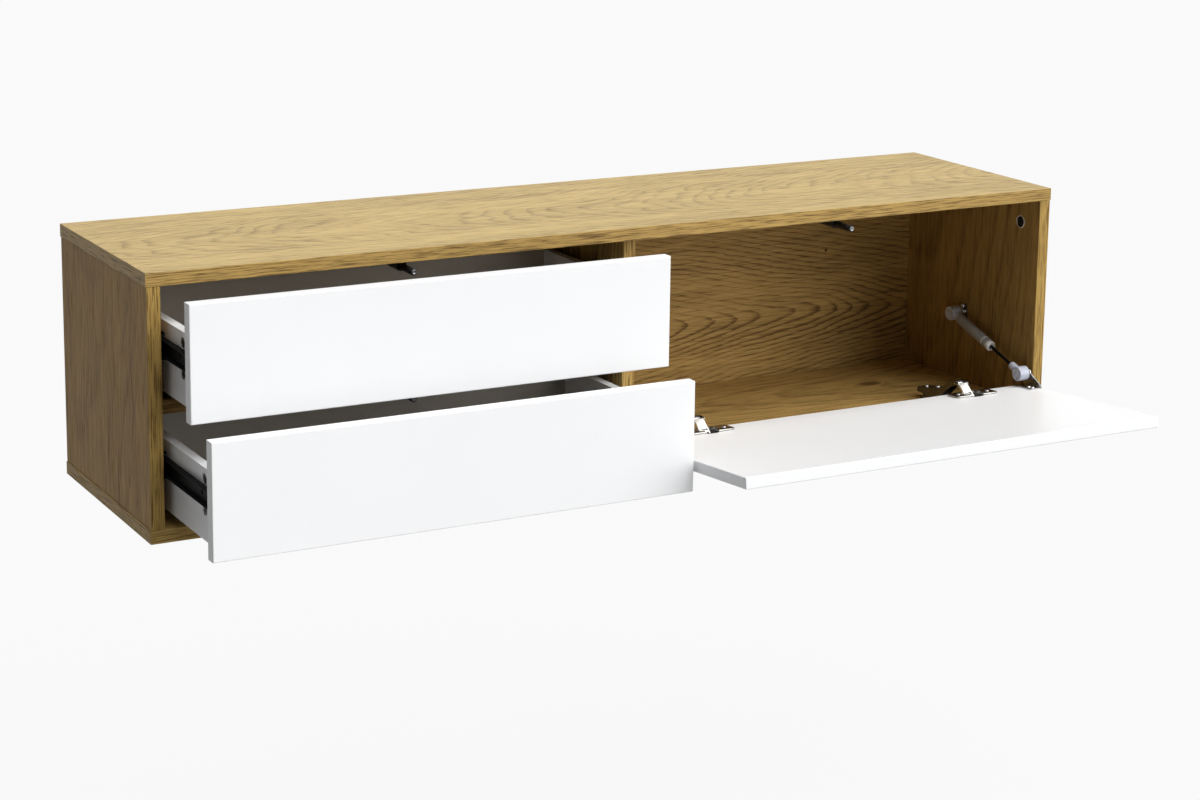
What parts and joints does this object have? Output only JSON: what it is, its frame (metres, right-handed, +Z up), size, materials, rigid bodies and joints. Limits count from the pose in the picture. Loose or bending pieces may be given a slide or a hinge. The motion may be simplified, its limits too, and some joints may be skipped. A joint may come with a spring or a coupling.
{
  "type": "floating media console",
  "caption": "Wall-hung low media cabinet in oak with white push-open drawers on ball slides beside a white drop-down flap on concealed hinges with a damper strut.",
  "frame": {"origin": "On the wall plane, at the centre of the wall cleat's rear face, midway between the cabinet's ends.", "axes": "+Z up, front towards -Y, +X to the right of someone facing the front."},
  "size_m": [1.4, 0.6414, 0.35],
  "materials": {
    "oak_veneer": "satin oak veneer, grain along each board",
    "white_lacquer": "satin white melamine",
    "raw_board": "plain plywood",
    "black_steel": "black electrophoretic coat",
    "black_plastic": "black moulded plastic",
    "zinc": "zinc plated",
    "nickel": "polished nickel plate",
    "dark_grey_metal": "dark grey semi-matte",
    "grey_plastic": "mid grey moulded plastic"
  },
  "bodies": {
    "carcass": {"top_panel": "oak_veneer", "bottom_panel": "oak_veneer", "left_side": "oak_veneer", "right_side": "oak_veneer", "middle_divider": "oak_veneer", "middle_rail": "oak_veneer", "back_panel": "oak_veneer", "cabinet_cleat": "raw_board", "wall_cleat": "raw_board", "lower_spacer": "raw_board", "left_cam": "zinc", "right_cam": "zinc", "upper_left_outer_slide": "black_steel", "upper_right_outer_slide": "black_steel", "lower_left_outer_slide": "black_steel", "lower_right_outer_slide": "black_steel", "upper_latch_housing": "black_plastic", "lower_latch_housing": "black_plastic", "flap_latch_housing": "black_plastic", "left_hinge_arm": "nickel", "left_hinge_plate": "nickel", "right_hinge_arm": "nickel", "right_hinge_plate": "nickel", "strut_side_bracket": "nickel"},
    "upper_drawer": {"upper_drawer_front": "white_lacquer", "upper_drawer_left_side": "white_lacquer", "upper_drawer_right_side": "white_lacquer", "upper_drawer_back": "white_lacquer", "upper_drawer_bottom": "white_lacquer", "upper_left_inner_slide": "black_steel", "upper_right_inner_slide": "black_steel"},
    "upper_cages": {"upper_left_slide_cage": "zinc", "upper_right_slide_cage": "zinc"},
    "lower_drawer": {"lower_drawer_front": "white_lacquer", "lower_drawer_left_side": "white_lacquer", "lower_drawer_right_side": "white_lacquer", "lower_drawer_back": "white_lacquer", "lower_drawer_bottom": "white_lacquer", "lower_left_inner_slide": "black_steel", "lower_right_inner_slide": "black_steel"},
    "lower_cages": {"lower_left_slide_cage": "zinc", "lower_right_slide_cage": "zinc"},
    "upper_plunger": {"upper_latch_plunger": "black_plastic", "upper_latch_tip": "zinc"},
    "lower_plunger": {"lower_latch_plunger": "black_plastic", "lower_latch_tip": "zinc"},
    "flap_plunger": {"flap_latch_plunger": "black_plastic", "flap_latch_tip": "zinc"},
    "flap": {"flap_panel": "white_lacquer", "left_hinge_cup": "nickel", "right_hinge_cup": "nickel", "strut_flap_bracket": "nickel"},
    "outer_links": {"left_outer_link": "nickel", "right_outer_link": "nickel"},
    "inner_links": {"left_inner_link": "nickel", "right_inner_link": "nickel"},
    "strut_barrel": {"strut_upper_fitting": "grey_plastic", "strut_barrel": "dark_grey_metal"},
    "strut_rod": {"strut_rod": "black_steel", "strut_lower_fitting": "grey_plastic"}
  },
  "joints": [
    {"name": "upper_plunger_slide", "type": "slide", "parent": "carcass", "child": "upper_plunger", "axis": [0, 1, 0], "range_m": [0, 0.031], "stiffness_N_per_m": 90, "springref_m": -0.03},
    {"name": "upper_drawer_slide", "type": "slide", "parent": "upper_plunger", "child": "upper_drawer", "axis": [0, 1, 0], "range_m": [-0.13, 0.064]},
    {"name": "upper_cage_roll", "type": "slide", "parent": "upper_plunger", "child": "upper_cages", "axis": [0, 1, 0], "range_m": [-0.0651, 0.0321]},
    {"name": "lower_plunger_slide", "type": "slide", "parent": "carcass", "child": "lower_plunger", "axis": [0, 1, 0], "range_m": [0, 0.031], "stiffness_N_per_m": 90, "springref_m": -0.03},
    {"name": "lower_drawer_slide", "type": "slide", "parent": "lower_plunger", "child": "lower_drawer", "axis": [0, 1, 0], "range_m": [-0.06, 0.134]},
    {"name": "lower_cage_roll", "type": "slide", "parent": "lower_plunger", "child": "lower_cages", "axis": [0, 1, 0], "range_m": [-0.0301, 0.0671]},
    {"name": "flap_hinge", "type": "hinge", "parent": "carcass", "child": "flap", "pos_m": [0, -0.34926, -0.19015], "axis": [1, 0, 0], "range_deg": [-85.3, 0]},
    {"name": "flap_plunger_slide", "type": "slide", "parent": "carcass", "child": "flap_plunger", "axis": [0, 1, 0], "range_m": [0, 0.0291]},
    {"name": "outer_link_swing", "type": "hinge", "parent": "carcass", "child": "outer_links", "pos_m": [0, -0.323, -0.1642], "axis": [1, 0, 0], "range_deg": [0, 35.4]},
    {"name": "inner_link_swing", "type": "hinge", "parent": "carcass", "child": "inner_links", "pos_m": [0, -0.3307, -0.1641], "axis": [1, 0, 0], "range_deg": [0, 33.91]},
    {"name": "strut_swing", "type": "hinge", "parent": "carcass", "child": "strut_barrel", "pos_m": [0.662, -0.1725, -0.0985], "axis": [1, 0, 0], "range_deg": [0, 14.65]},
    {"name": "strut_stroke", "type": "slide", "parent": "strut_barrel", "child": "strut_rod", "axis": [0, 0.9511, 0.3088], "range_m": [0, 0.0241]}
  ],
  "couplings": [
    {"joint": "upper_cage_roll", "follows": "upper_drawer_slide", "ratio": 0.5},
    {"joint": "lower_cage_roll", "follows": "lower_drawer_slide", "ratio": 0.5},
    {"joint": "flap_plunger_slide", "follows": "flap_hinge", "m_per_rad": -0.01948},
    {"joint": "outer_link_swing", "follows": "flap_hinge", "ratio": -0.41437},
    {"joint": "inner_link_swing", "follows": "flap_hinge", "ratio": -0.3969},
    {"joint": "strut_swing", "follows": "flap_hinge", "ratio": -0.17116},
    {"joint": "strut_stroke", "follows": "flap_hinge", "m_per_rad": -0.01612}
  ]
}
